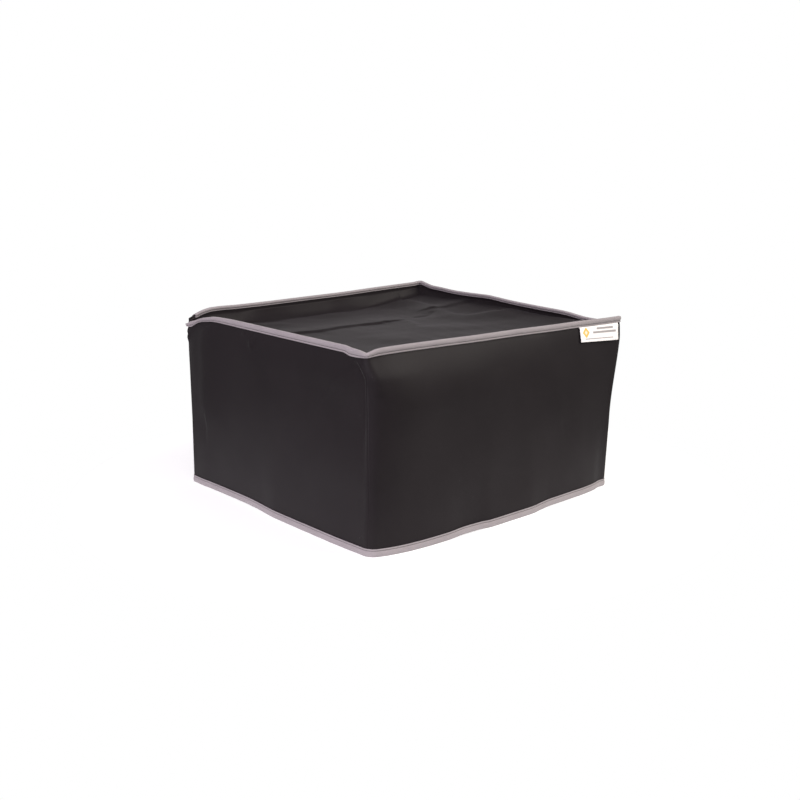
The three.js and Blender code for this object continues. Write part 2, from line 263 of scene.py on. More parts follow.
def outline(k, share, inset, z):
    """Points of side k in plan, from the seam at its first corner (share 0) to its second corner's (share 1).

    inset is measured inwards from the wall's outer face.
    """
    share, inset, z = np.broadcast_arrays(share, inset, z)
    facing = (k - 1) * math.pi / 2
    first, second = CORNERS[k], CORNERS[(k + 1) % 4]
    arcs = []
    sweeps = (math.pi / 4 + seam_turn(first, z), math.pi / 4 - seam_turn(second, z))
    for corner, sweep in zip((first, second), sweeps):
        radius = np.maximum(SMALLEST_RADIUS, corner_radius(corner, z) - inset)
        middle_x = corner["x"] * (HALF_WIDTH - inset - radius)
        middle_y = corner["y"] * (HALF_DEPTH - inset - radius)
        arcs.append((radius, np.stack([middle_x, middle_y], axis=-1), sweep))
    (radius_1, middle_1, sweep_1), (radius_2, middle_2, sweep_2) = arcs
    arc_1 = radius_1 * sweep_1
    arc_2 = radius_2 * sweep_2
    straight = WALLS[k]["length"] - 2 * inset - radius_1 - radius_2
    distance = share * (arc_1 + straight + arc_2)
    angle_1 = facing - sweep_1 + np.minimum(distance, arc_1) / radius_1
    angle_2 = facing + np.maximum(distance - arc_1 - straight, 0) / radius_2
    on_first = middle_1 + radius_1[..., None] * np.stack([np.cos(angle_1), np.sin(angle_1)], axis=-1)
    on_second = middle_2 + radius_2[..., None] * np.stack([np.cos(angle_2), np.sin(angle_2)], axis=-1)
    ahead = np.array([-math.sin(facing), math.cos(facing)])
    on_first = on_first + ahead * np.clip(distance - arc_1, 0, straight)[..., None]
    return np.where((distance > arc_1 + straight)[..., None], on_second, on_first)


def place(k, share, inset, z, sway=1.0):
    """Draped points of side k."""
    share, inset, z = np.broadcast_arrays(share, inset, z)
    plan = outline(k, share, inset, z)
    return drape(np.concatenate([plan, z[..., None]], axis=-1), sway)


def waves(along, across, lengths, height):
    """A gentle random relief: a few long waves that cross each other, with crests at most height high."""
    total = 0
    for length in lengths:
        for _ in range(3):
            angle = random.uniform(0, math.pi)
            phase = random.uniform(0, 2 * math.pi)
            turn = 2 * math.pi / (length * random.uniform(0.8, 1.25))
            total = total + np.sin(turn * (along * math.cos(angle) + across * math.sin(angle)) + phase)
    return height * total / (3 * len(lengths))


def fold(u, v, line, height, left, right):
    """A ridge along a line of points, spreading by left and right on the two sides of its direction."""
    nearest = np.full(np.broadcast(u, v).shape, np.inf)
    spread = np.ones(nearest.shape)
    for (u_1, v_1), (u_2, v_2) in zip(line, line[1:]):
        run = np.array([u_2 - u_1, v_2 - v_1], float)
        share = np.clip(((u - u_1) * run[0] + (v - v_1) * run[1]) / (run @ run), 0, 1)
        off_u = u - u_1 - share * run[0]
        off_v = v - v_1 - share * run[1]
        gap = np.hypot(off_u, off_v)
        closer = gap < nearest
        spread = np.where(closer, np.where(run[0] * off_v > run[1] * off_u, left, right), spread)
        nearest = np.where(closer, gap, nearest)
    return height * np.exp(-((nearest / spread) ** 2))


def hem_middle():
    """The middle of the hem tape's footprint before it sways, on the square cover's own axes."""
    reach = np.concatenate([place(k, np.linspace(0, 1, 400), -1.1, 0.0, sway=0.0) for k in range(4)])
    return (reach.min(axis=0) + reach.max(axis=0)) / 2


hem_low, hem_high = (np.array(corner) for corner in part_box("hem_binding"))
SHIFT = (hem_low + hem_high) / 2 - hem_middle() * METRE
SHIFT[2] = 0


# ---- Meshes ------------------------------------------------------------------


def solid(name, points, faces, materials, cloth=None, face_materials=None):
    """A smooth mesh object from points in millimetres. cloth is where each point lies on the flat fabric."""
    mesh = bpy.data.meshes.new(name)
    placed = np.asarray(points).reshape(-1, 3) * METRE + SHIFT
    mesh.from_pydata(placed.tolist(), [], faces.tolist() if isinstance(faces, np.ndarray) else faces)
    for material in materials:
        mesh.materials.append(material)
    mesh.polygons.foreach_set("use_smooth", np.ones(len(mesh.polygons), bool))
    if face_materials is not None:
        mesh.polygons.foreach_set("material_index", np.asarray(face_materials, np.int32))
    if cloth is not None:
        flat = np.zeros((len(placed), 3), np.float32)
        flat[:, :2] = np.asarray(cloth).reshape(-1, 2) * METRE
        attribute = mesh.attributes.new("cloth", "FLOAT_VECTOR", "POINT")
        attribute.data.foreach_set("vector", flat.ravel())
    mesh.validate()
    piece = bpy.data.objects.new(name, mesh)
    bpy.context.collection.objects.link(piece)
    return piece


def grid_faces(rows, columns, start=0):
    """Quads between the neighbours of a grid of points."""
    index = start + np.arange(rows * columns).reshape(rows, columns)
    corners = [index[:-1, :-1], index[:-1, 1:], index[1:, 1:], index[1:, :-1]]
    return np.stack([c.ravel() for c in corners], axis=1)


def grid_normals(points):
    normals = np.cross(np.gradient(points, axis=1), np.gradient(points, axis=0))
    return normals / np.linalg.norm(normals, axis=-1, keepdims=True)


def cloth_sheet(name, points, cloth, thickness, materials):
    """A sheet of cloth, its thickness behind a grid of points. materials are its face's and its back's."""
    rows, columns = points.shape[:2]
    count = rows * columns
    back = points - grid_normals(points) * thickness
    front_faces = grid_faces(rows, columns)
    back_faces = grid_faces(rows, columns, count)[:, ::-1]
    index = np.arange(count).reshape(rows, columns)
    border = np.concatenate([index[0], index[1:, -1], index[-1, -2::-1], index[-2:0:-1, 0]])
    after = np.roll(border, -1)
    edge_faces = np.stack([border, border + count, after + count, after], axis=1)
    faces = np.concatenate([front_faces, back_faces, edge_faces])
    kinds = np.repeat([0, 1, 0], [len(front_faces), len(back_faces), len(edge_faces)])
    all_points = np.concatenate([points.reshape(-1, 3), back.reshape(-1, 3)])
    all_cloth = np.tile(cloth.reshape(-1, 2), (2, 1))
    return solid(name, all_points, faces, materials, all_cloth, kinds)


# ---- Materials ---------------------------------------------------------------


class Builder:
    """Adds nodes to one material, linking sockets and setting values."""

    def __init__(self, name):
        self.material = bpy.data.materials.new(name)
        self.material.use_nodes = True
        self.tree = self.material.node_tree
        self.shader = self.tree.nodes["Principled BSDF"]

    def fill(self, node, inputs):
        for key, value in inputs.items():
            if isinstance(value, bpy.types.NodeSocket):
                self.tree.links.new(value, node.inputs[key])
            else:
                node.inputs[key].default_value = value

    def add(self, kind, inputs=None, **settings):
        node = self.tree.nodes.new("ShaderNode" + kind)
        for key, value in settings.items():
            setattr(node, key, value)
        self.fill(node, inputs or {})
        return node

    def math(self, operation, *values):
        return self.add("Math", dict(enumerate(values)), operation=operation).outputs[0]

    def position(self):
        """Where the surface lies on its object, in metres."""
        return self.add("TexCoord").outputs["Object"]

    def noise(self, scale, detail=3.0, roughness=0.5):
        inputs = {"Vector": self.position(), "Scale": scale, "Detail": detail, "Roughness": roughness}
        return self.add("TexNoise", inputs).outputs["Fac"]

    def ramp(self, value, start, end, low=0.0, high=1.0):
        """A number that goes from low to high as value goes from start to end."""
        inputs = {"Value": value, "From Min": start, "From Max": end, "To Min": low, "To Max": high}
        return self.add("MapRange", inputs).outputs["Result"]

    def between(self, share, low, high):
        """A number that goes from low to high as share goes from 0 to 1."""
        return self.ramp(share, 0.0, 1.0, low, high)

    def blend(self, share, first, second):
        """A colour between two."""
        node = self.add("Mix", {"Factor": share}, data_type="RGBA")
        for socket, value in ((node.inputs[6], first), (node.inputs[7], second)):
            if isinstance(value, bpy.types.NodeSocket):
                self.tree.links.new(value, socket)
            else:
                socket.default_value = (*value, 1)
        return node.outputs[2]

    def flat_place(self):
        """Where the surface lies on the flat cloth, in metres: along the cloth and across it."""
        cloth = self.add("Attribute", attribute_name="cloth").outputs["Vector"]
        split = self.add("SeparateXYZ", {0: cloth})
        return split.outputs[0], split.outputs[1]

    def threads(self, pitch_along, pitch_across):
        """The height of a plain weave, from -1 to 1, one thread passing over the next and then under it."""
        rows = []
        for distance, pitch in zip(self.flat_place(), (pitch_along, pitch_across)):
            rows.append(self.math("SINE", self.math("MULTIPLY", distance, math.pi / (pitch * METRE))))
        return self.math("MULTIPLY", *rows)

    def bump(self, height, distance, strength=1.0, under=None):
        inputs = {"Height": height, "Distance": distance * METRE, "Strength": strength}
        if under is not None:
            inputs["Normal"] = under
        return self.add("Bump", inputs).outputs["Normal"]

    def finish(self, **inputs):
        self.fill(self.shader, {key.replace("_", " "): value for key, value in inputs.items()})
        return self.material


def nylon(name, dark, light, roughness, specular):
    """Coated nylon: a fine plain weave, slightly uneven in colour, with a scatter of pale lint."""
    b = Builder(name)
    weave = b.threads(0.55, 0.5)
    patches = b.noise(9.0, 4.0, 0.6)
    grain = b.noise(900.0, 2.0, 0.7)
    cloth = b.blend(b.between(patches, -0.4, 1.4), dark, light)
    shade = b.math("ADD", b.math("MULTIPLY", weave, 0.12), b.between(grain, 0.75, 1.25))
    mottled = b.add("VectorMath", {0: cloth, 3: shade}, operation="SCALE").outputs[0]
    specks = b.add("TexVoronoi", {"Vector": b.position(), "Scale": 55.0})
    lint = b.math("LESS_THAN", specks.outputs["Distance"], 0.018)
    colour = b.blend(b.math("MULTIPLY", lint, 0.22), mottled, (0.5, 0.48, 0.46))
    normal = b.bump(weave, 0.05, 0.55)
    normal = b.bump(grain, 0.06, 0.4, normal)
    uneven = b.between(patches, roughness - 0.06, roughness + 0.06)
    b.fill(b.shader, {"Base Color": colour, "Roughness": uneven})
    return b.finish(Specular_IOR_Level=specular, Sheen_Weight=0.055, Sheen_Roughness=0.35, Normal=normal)


def binding_tape(name, dark, light, grooves):
    """Woven tape: close ribs across its width, with painted shade along the grooves that the stitching pulls
    in.
    """
    b = Builder(name)
    ribs = b.threads(0.8, 0.45)
    patches = b.noise(30.0, 4.0, 0.6)
    fuzz = b.noise(1400.0, 2.0, 0.7)
    cloth = b.blend(patches, dark, light)
    groove_shade = tuple(0.3 * value for value in dark)
    # Painted shade: the tape's colour is darkened in a narrow band along each groove that the stitches pull
    # in.
    across = b.flat_place()[1]
    for groove in grooves:
        off = b.math("ABSOLUTE", b.math("SUBTRACT", across, groove * METRE))
        cloth = b.blend(b.ramp(off, 0.3 * METRE, 0.9 * METRE, 0.6, 0.0), cloth, groove_shade)
    shade = b.math("ADD", b.math("MULTIPLY", ribs, 0.10), b.between(fuzz, 0.85, 1.15))
    colour = b.add("VectorMath", {0: cloth, 3: shade}, operation="SCALE").outputs[0]
    normal = b.bump(ribs, 0.09, 0.8)
    normal = b.bump(fuzz, 0.05, 0.5, normal)
    b.fill(b.shader, {"Base Color": colour, "Roughness": b.between(patches, 0.68, 0.85)})
    return b.finish(Specular_IOR_Level=0.25, Sheen_Weight=0.15, Sheen_Roughness=0.5, Normal=normal)


def thread(name, dark, light):
    """Twisted sewing thread."""
    b = Builder(name)
    wave = b.add("TexWave", {"Vector": b.position(), "Scale": 900.0}, bands_direction="DIAGONAL")
    twist = wave.outputs["Fac"]
    b.fill(b.shader, {"Base Color": b.blend(twist, dark, light), "Roughness": b.between(twist, 0.55, 0.7)})
    return b.finish(Specular_IOR_Level=0.3, Normal=b.bump(twist, 0.05))


black_nylon = nylon("black_nylon", (0.0095, 0.0073, 0.0083), (0.0130, 0.0103, 0.0114), 0.52, 0.13)
nylon_backing = nylon("black_nylon_backing", (0.017, 0.015, 0.016), (0.021, 0.019, 0.020), 0.45, 0.2)
grey_thread = thread("grey_thread", (0.06, 0.055, 0.056), (0.11, 0.10, 0.102))
black_thread = thread("black_thread", (0.012, 0.011, 0.011), (0.03, 0.028, 0.028))


# ---- Wall panels -------------------------------------------------------------

WALL_ROWS = 94
WALL_COLUMNS = 164  # between those close to the seams
NEAR_SEAM = np.array([0.12, 0.45, 1.0, 1.8, 3.0])  # how far from a seam the columns close to it are
FALL_IN = 5.0  # how far the left wall falls in below the pinched corner
# Ridges in the walls: wall, points along and up it, height, and how far they spread to the left and to the
# right of its direction.
WALL_FOLDS = [
    (LEFT, [(411, 257), (420, 250), (430, 243)], 1.8, 2.5, 7),
    (FRONT, [(0, 243), (8, 230), (12, 214)], 1.6, 9, 3),
    (LEFT, [(159, 253), (172, 248), (180, 243)], 1.6, 3, 6),
    (LEFT, [(203, 254), (188, 247), (182, 238)], 1.3, 4, 6),
    (LEFT, [(60, 243), (58, 197), (52, 130)], 2.0, 36, 18),
    (LEFT, [(230, 214), (291, 196), (340, 205)], -0.8, 22, 30),
    (FRONT, [(300, 244), (330, 200), (345, 140)], 1.0, 22, 30),
    (FRONT, [(405, 240), (395, 170), (380, 60)], 0.6, 24, 30),
    (FRONT, [(150, 180), (175, 110), (170, 30)], -0.7, 34, 40),
    (RIGHT, [(120, 240), (150, 170), (140, 60)], 1.8, 20, 26),
    (RIGHT, [(300, 230), (280, 150), (310, 40)], -1.6, 24, 24),
    (BACK, [(110, 240), (140, 150), (120, 50)], 1.8, 22, 28),
    (BACK, [(330, 235), (300, 160), (320, 40)], 1.6, 26, 20),
]
# Where a seam stands out: the wall whose first corner it is at, height, how far it stands out and how far up
# and down that spreads.
SEAM_BUMPS = [(FRONT, 243, 1.8, 12), (LEFT, 245, 2.5, 6)]


def wall_relief(k, along, z):
    """How far a wall stands out beyond its plain drape. At the seams its neighbour stands out just as far."""
    length = WALLS[k]["length"]
    loose = smoothstep(z, HEM_TAPE_TOP, 60) * (1 - smoothstep(z, 215, RIM_TAPE_FOOT - 4))
    relief = waves(along, z, [120, 190], 1.3) * loose
    relief = relief + waves(along, z, [38, 55], 0.12) * loose
    below_tape = 1 - smoothstep(z, RIM_TAPE_FOOT - 5, RIM_TAPE_FOOT - 1)
    for wall, line, height, left, right in WALL_FOLDS:
        if wall == k:
            relief = relief + fold(along, z, line, height, left, right) * below_tape
    if k == LEFT:
        # Below the pinched corner the fabric falls in, from a ridge at the corner to a line that runs down
        # and away from it.
        fall = RIM_TAPE_FOOT - z
        from_corner = length - along
        ridge = 16 * (1 - smoothstep(fall, 0, 34))
        reach = 20 + 1.05 * fall
        inside = 1 - smoothstep(from_corner, 0.5 * reach, reach)
        inside = inside * smoothstep(from_corner, ridge - 2, ridge + 5)
        relief = relief - FALL_IN * inside * smoothstep(fall, 0, 14) * (1 - smoothstep(fall, 60, 170))
    relief = relief * smoothstep(np.minimum(along, length - along), 0, 9)
    for corner, from_seam in ((k, along), ((k + 1) % 4, length - along)):
        relief = relief + 0.5 * hump(from_seam, 0, 7) * below_tape
        for bumped, middle, height, spread in SEAM_BUMPS:
            if bumped == corner:
                relief = relief + height * hump(from_seam, 0, 8) * hump(z, middle, spread) * below_tape
    return relief


def allowance(k, at_end, z):
    """Columns of the fabric turned inside at one end of wall k, from the seam to the free edge."""
    corner = CORNERS[(k + at_end) % 4]
    side = -1 if at_end else 1
    angle = (k - 1) * math.pi / 2 - side * (math.pi / 4 + side * seam_turn(corner, z))
    outward = np.stack([np.cos(angle), np.sin(angle)], axis=-1)
    across = np.stack([-outward[:, 1], outward[:, 0]], axis=-1) * side
    radius = np.maximum(SMALLEST_RADIUS, corner_radius(corner, z))
    middle = np.stack([corner["x"] * (HALF_WIDTH - radius), corner["y"] * (HALF_DEPTH - radius)], axis=-1)
    ends = smoothstep(z, HEM_EDGE, 16) * (1 - smoothstep(z, 236, 256))
    columns = []
    for share in (0.0, 0.35, 0.7, 1.0):
        deep = 0.7 + share * mix(1.2, SEAM_ALLOWANCE, ends)
        bend = side * SEAM_BEND * share**2 * ends
        plan = middle + outward * (radius - deep)[:, None] + across * (SEAM_GAP + bend)[:, None]
        columns.append(drape(np.concatenate([plan, z[:, None]], axis=-1)))
    return columns


def wall_panel(k):
    length = WALLS[k]["length"]
    z = np.linspace(HEM_EDGE, RIM_EDGE, WALL_ROWS)
    between = np.linspace(4.5, length - 4.5, WALL_COLUMNS)
    along = np.concatenate([NEAR_SEAM, between, length - NEAR_SEAM[::-1]])
    share = along / length
    relief = wall_relief(k, along[None, :], z[:, None])
    middle = place(k, share[None, :], -relief, z[:, None])
    first = allowance(k, 0, z)[::-1]
    last = allowance(k, 1, z)
    points = np.concatenate([np.stack(first, axis=1), middle, np.stack(last, axis=1)], axis=1)
    turned = np.array([2.0, 4.0, 6.0, 8.0])
    distance = np.concatenate([-turned[::-1], along, length + turned])
    cloth = np.stack(np.broadcast_arrays(distance[None, :], z[:, None]), axis=-1)
    piece = cloth_sheet(f"{WALLS[k]['name']}_cloth", points, cloth, FABRIC, [black_nylon, nylon_backing])
    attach(piece, "cover")
    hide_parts(WALLS[k]["name"])
    return piece


# ---- Top panel ---------------------------------------------------------------

TOP_EDGE_INSET = 1.5 + FABRIC  # the top panel's face, inside the wall panels
UPSTAND = [(0.0, RIM_EDGE), (0.0, 263), (0.0, 259.5), (0.0, 256.5), (0.15, 255)]  # its edge: inset and height
SLOPE_INSETS = [0.6, 1.4, 2.5, 4, 6, 8.5, 11, 14, 17, 20, 24, 28, 33, 39, 46]
SLOPE_TOP = 254.6
# How each wall holds the panel up, from the front anticlockwise: how high the panel is at the foot of its
# steep border, how far in it goes on falling from there, and how far in that foot is along the wall.
BORDERS = [
    (243, 110, [(-235, 18), (235, 18)]),
    (252.5, 120, [(-215, 8), (215, 8)]),
    (238.5, 60, [(-235, 7), (-150, 8), (-95, 30), (-43, 21), (18, 19), (50, 26), (120, 9), (235, 8)]),
    (245, 110, [(-215, 16), (215, 16)]),
]
BORDER_POWER = 1.25  # how hollow the steep border is: 1 would make it straight
TOP_GRID = (176, 162)  # squares across the panel and from its front to its back
# Creases in the panel: points on it, height, and how far they spread to the left and to the right.
TOP_FOLDS = [
    ([(-150, 78), (-100, 64), (-60, 70), (-20, 72), (20, 66)], 2.6, 34, 3.5),
    ([(176, 185), (172, 149), (154, 78), (144, 40), (155, 9), (190, -6)], 3.0, 10, 34),
    ([(165, 98), (200, 92), (228, 84)], 2.2, 26, 6),
    ([(66, 66), (47, 18)], 1.2, 6, 16),
    ([(95, 70), (120, 66), (138, 78)], -1.2, 6, 4),
    ([(-190, 150), (-150, 168), (-110, 150)], 1.6, 16, 24),
    ([(-60, -60), (40, -20), (120, -60)], 1.0, 30, 24),
    ([(-150, -120), (-60, -150), (60, -140)], 1.4, 24, 30),
]


def top_surface(x, y):
    """Height of the top panel's face inside its upstanding edge."""
    held = 0
    level = 1.0
    for wall, (foot, reach, line) in zip(WALLS, BORDERS):
        half = HALF_WIDTH if wall["x"] else HALF_DEPTH
        inset = half - TOP_EDGE_INSET - (wall["x"] * x + wall["y"] * y)
        run = line_at(line, y if wall["x"] else x)
        level = level * (1 - np.clip(1 - inset / run, 0, 1) ** BORDER_POWER)
        held = held + ((foot - TOP_REST_HEIGHT) * np.clip(1 - inset / reach, 0, 1) ** 1.6) ** 3
    relief = waves(x, y, [90, 150, 220], 1.4) + waves(x, y, [30, 45], 0.25)
    for line, height, left, right in TOP_FOLDS:
        relief = relief + fold(x, y, line, height, left, right)
    return mix(SLOPE_TOP, TOP_REST_HEIGHT + np.cbrt(held) + relief, level)


def top_panel():
    across, back = TOP_GRID
    border = len(UPSTAND) + len(SLOPE_INSETS)
    plan = np.zeros((back + 1, across + 1, 2))
    height = np.zeros((back + 1, across + 1))
    inner = SLOPE_INSETS[-1] + TOP_EDGE_INSET
    column = np.arange(border - 1, across + 2 - border)
    row = np.arange(border - 1, back + 2 - border)
    span = np.linspace(-1, 1, len(column)) * (HALF_WIDTH - inner)
    reach = np.linspace(-1, 1, len(row)) * (HALF_DEPTH - inner)
    plan[np.ix_(row, column)] = np.stack(np.meshgrid(span, reach), axis=-1)
    insets = [inset for inset, _ in UPSTAND] + SLOPE_INSETS
    for m in range(border - 1):
        wide = np.arange(m, across - m + 1)
        deep = np.arange(m, back - m + 1)
        inset = insets[m] + TOP_EDGE_INSET
        share_wide = np.linspace(0, 1, len(wide))
        share_deep = np.linspace(0, 1, len(deep))
        plan[m, wide] = outline(FRONT, share_wide, inset, RIM_TAPE_FOOT)
        plan[deep, across - m] = outline(RIGHT, share_deep, inset, RIM_TAPE_FOOT)
        plan[back - m, wide[::-1]] = outline(BACK, share_wide, inset, RIM_TAPE_FOOT)
        plan[deep[::-1], m] = outline(LEFT, share_deep, inset, RIM_TAPE_FOOT)
    surface = top_surface(plan[..., 0], plan[..., 1])
    rows, columns = np.indices(height.shape)
    depth = np.minimum.reduce([rows, columns, back - rows, across - columns])
    upstand = np.array([z for _, z in UPSTAND])
    height = np.where(depth < len(UPSTAND), upstand[np.minimum(depth, len(UPSTAND) - 1)], surface)
    points = drape(np.concatenate([plan, height[..., None]], axis=-1))
    piece = cloth_sheet("top_panel_cloth", points, plan, FABRIC, [black_nylon, nylon_backing])
    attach(piece, "cover")
    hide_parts("top_panel")
    return piece


# ---- Binding tape and stitching ----------------------------------------------

# Each tape in section, as distances outwards from the wall's outer face and from the tape's free edge: along
# its outer face from the lip, past the groove that the stitches pull in, over the roll and back inside.
RIM_SECTION = [
    (0.30, 0.2), (0.75, -0.1), (1.25, 0.3), (1.40, 1.0), (1.20, 1.8), (0.45, 2.4), (1.15, 3.0), (1.70, 3.8),
    (1.95, 4.9), (1.95, 6.1), (1.65, 7.4), (1.00, 8.4), (0.0, 8.9), (-1.2, 9.1), (-2.4, 8.9), (-3.5, 8.3),
    (-4.1, 7.7), (-4.3, 6.8), (-4.2, 6.0), (-3.8, 5.2), (-3.2, 4.7), (-2.8, 4.3), (-3.3, 3.9), (-3.5, 3.4),
    (-3.4, 2.9), (-3.0, 2.5), (-2.6, 2.8), (-2.55, 4.2), (-2.5, 7.9), (-1.3, 8.3), (0.15, 7.9), (0.2, 3.0),
]
HEM_SECTION = [
    (0.30, 0.2), (0.75, -0.1), (1.20, 0.3), (1.30, 1.0), (1.10, 1.8), (0.40, 2.4), (1.05, 3.0),
    (1.50, 3.8), (1.75, 5.0), (1.80, 6.6), (1.70, 8.3), (1.30, 10.0), (0.5, 10.8), (-0.5, 11.0),
    (-1.5, 10.8), (-2.3, 10.0), (-2.7, 8.3), (-2.8, 6.6), (-2.7, 5.0), (-2.4, 3.8), (-1.9, 3.0),
    (-1.5, 2.4), (-2.0, 1.8), (-2.2, 1.0), (-2.1, 0.3), (-1.7, -0.1), (-1.3, 0.2), (-1.2, 3.0),
    (-1.2, 9.7), (-0.5, 10.3), (0.15, 9.7), (0.2, 3.0),
]
OUTER_GROOVE, INNER_GROOVE = 5, 21  # the points of both sections at the bottom of the grooves
# How high the rim's tape is along the left wall, as a share of its height elsewhere: it is twisted where it
# starts, at the back left corner.
TWIST = [
    (0, 0.12), (4, 0.5), (11, 1.0), (20, 0.74), (33, 0.62), (53, 0.68), (74, 0.8), (110, 0.93), (140, 1.0),
    (384, 1.0), (399, 1.14), (415, 1.1), (430, 1.0),
]
TWIST_OUT = 3  # how far out its twisted start stands
TWIST_REACH = 14
TAPE_SHORT = 9  # how far from the back left corner the rim's tape ends
TAPE_STEP = 1.1  # from one ring of points to the next
TAPE_MIDDLE = -1.2  # the middle of both sections, measured like their points
# A stitch's rings: how far along it, thickness as a share of the whole, and how far out of the cloth.
STITCH_RINGS = [(0, 0.25, -0.35), (0.12, 0.85, -0.1), (0.5, 1, 0.1), (0.88, 0.85, -0.1), (1, 0.25, -0.35)]
STITCH_RISE = 0.12  # how far off the bottom of its groove a tape's stitch lies


def round_the_cover(first, step, short=0):
    """Side, share and distance of points once round the cover from side first, less a short end."""
    sides, shares = [], []
    for turn in range(4):
        k = (first + turn) % 4
        length = WALLS[k]["length"]
        end = 1 if turn < 3 else 1 - short / length
        count = round(length / step)
        sides.append(np.full(count, k))
        shares.append(end * (np.arange(count) + 0.5) / count)
    side = np.concatenate(sides)
    share = np.concatenate(shares)
    lengths = np.array([wall["length"] for wall in WALLS])[side]
    counts = np.array([len(s) for s in shares])
    pace = lengths / np.repeat(counts, counts)
    return side, share, np.cumsum(pace) - pace / 2


def place_round(side, share, inset, z):
    """place() for points of several sides at once."""
    side, share, inset, z = np.broadcast_arrays(side, share, inset, z)
    found = np.zeros((*share.shape, 3))
    for k in range(4):
        on_it = side == k
        found[on_it] = place(k, share[on_it], inset[on_it], z[on_it])
    return found


def rim_tape_point(side, share, out, rise):
    """A point of the rim's tape: out from the wall's face and up from the tape's free edge."""
    top = HEIGHT - RIM_TAPE_FOOT
    twisted = np.interp(share * DEPTH, *np.array(TWIST).T)
    narrowed = np.where(side == LEFT, top - (top - rise) * twisted, rise)
    curl = np.where(side == LEFT, 1 - smoothstep(share * DEPTH, 0, TWIST_REACH), 0)
    return place_round(side, share, -(out + TWIST_OUT * curl), RIM_TAPE_FOOT + narrowed)


def hem_tape_point(side, share, out, rise):
    """A point of the hem's tape: out from the wall's face and down from the tape's free edge."""
    return place_round(side, share, -out, HEM_TAPE_TOP - rise)


def girths(section):
    """How far round a tape's section each of its points lies."""
    steps = np.linalg.norm(np.diff(np.array(section), axis=0), axis=1)
    return np.concatenate([[0], np.cumsum(steps)])


def tape(name, section, point, node, material, closed):
    side, share, distance = round_the_cover(LEFT, TAPE_STEP, 0 if closed else TAPE_SHORT)
    out, rise = np.array(section).T
    roll = smoothstep(rise, 2.4, 5)
    pucker = waves(distance, 0, [9, 14, 23], 0.35)[:, None] * roll
    swollen = out + pucker * np.sign(out - TAPE_MIDDLE)
    points = point(side[:, None], share[:, None], swollen, rise[None, :])
    rows, columns = points.shape[:2]
    cloth = np.stack(np.broadcast_arrays(distance[:, None], girths(section)[None, :]), axis=-1)
    index = np.arange(rows * columns).reshape(rows, columns)
    here = index if closed else index[:-1]
    after = np.roll(index, -1, axis=0) if closed else index[1:]
    corners = [here, np.roll(here, -1, axis=1), np.roll(after, -1, axis=1), after]
    faces = np.stack([c.ravel() for c in corners], axis=1)
    if node == "hem_binding":
        faces = faces[:, ::-1]  # its section is measured downwards
    faces = faces.tolist()
    if not closed:
        faces += [index[0][::-1].tolist(), index[-1].tolist()]
    piece = solid(name, points, faces, [material], cloth)
    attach(piece, "cover")
    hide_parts(node)
    return piece


def stitches(name, starts, ends, lift, material, node):
    """Separate stitches, each a short thread that goes into the cloth at both ends."""
    along = ends - starts
    length = np.linalg.norm(along, axis=1, keepdims=True)
    ahead = along / length
    side = np.cross(ahead, lift)
    side /= np.linalg.norm(side, axis=1, keepdims=True)
    outward = np.cross(side, ahead)
    rings = []
    turns = np.linspace(0, 2 * math.pi, 6, endpoint=False)
    for share, size, rise in STITCH_RINGS:
        middle = starts + along * share + outward * rise
        for turn in turns:
            offset = math.cos(turn) * side + math.sin(turn) * outward
            rings.append(middle + offset * STITCH_RADIUS * size)
    points = np.stack(rings, axis=1)
    count, each = points.shape[:2]
    around = len(turns)
    index = np.arange(each).reshape(-1, around)
    corners = [index[:-1], np.roll(index, -1, axis=1)[:-1], np.roll(index, -1, axis=1)[1:], index[1:]]
    quads = np.stack([c.ravel() for c in corners], axis=1)
    offsets = np.arange(count) * each
    faces = (quads[None] + offsets[:, None, None]).reshape(-1, 4).tolist()
    for cap in (index[0][::-1], index[-1]):
        faces += (cap[None] + offsets[:, None]).tolist()
    piece = solid(name, points, faces, [material])
    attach(piece, "cover")
    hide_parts(node)
    return piece


def tape_stitches(name, point, groove, node):
    side, share, _ = round_the_cover(LEFT, STITCH_PITCH)
    lengths = np.array([wall["length"] for wall in WALLS])[side]
    half = STITCH_LENGTH / 2 / lengths
    out, rise = groove
    outwards = 1 if out > 0 else -1
    starts = point(side, share - half, out + STITCH_RISE * outwards, rise)
    ends = point(side, share + half, out + STITCH_RISE * outwards, rise)
    further = point(side, share, out + outwards, rise)
    lift = further - (starts + ends) / 2
    return stitches(name, starts, ends, lift, grey_thread, node)


def seam_stitches(k):
    """Stitches up the allowance inside corner k, on its anticlockwise side."""
    corner = CORNERS[k]
    z = np.arange(16, 240, STITCH_PITCH)
    starts, ends = (allowance(k, 0, at)[1] for at in (z, z + STITCH_LENGTH))
    angle = (k - 1) * math.pi / 2 - math.pi / 4 - seam_turn(corner, z)
    lift = np.stack([-np.sin(angle), np.cos(angle), np.zeros(len(z))], axis=-1)
    out = lift * (FABRIC + 0.1)
    name = corner["name"]
    return stitches(
        f"{name}_seam_stitches", starts + out, ends + out, lift,
        black_thread, f"{name}_seam_thread",
    )


# ---- Label -------------------------------------------------------------------

LABEL_WIDTH = 89
LABEL_HEIGHT = 20
LABEL_THICKNESS = 0.5
LABEL_SLANT = 0.12  # how much longer its right edge hangs, as a share of its height
LABEL_GAP = 1.4  # from the wall to the label, at least
LABEL_LEFT = (4.1, 3.1)  # how far to the left of the CAD's label it hangs, at its top and at its foot
LABEL_STAND = 0.8  # how much further out its foot hangs
LABEL_CURL = 0.6  # how much further still, where its foot curls
LABEL_ROOT = [(0.35, 0.2), (-0.3, 0.62)]  # its sewn end: up from the rim tape's foot, out from the wall
# What is printed on the label, along and down from its top left corner: the middle of a diamond, and bars as
# left end, right end, middle and half thickness.
DIAMOND = (13, 7)
BARS = [(38, 76, 2.2, 1.2), (29, 83, 7.4, 1.3), (10, 76, 15.8, 0.5)]
SATIN = ((0.90, 0.87, 0.85), (0.96, 0.94, 0.93))


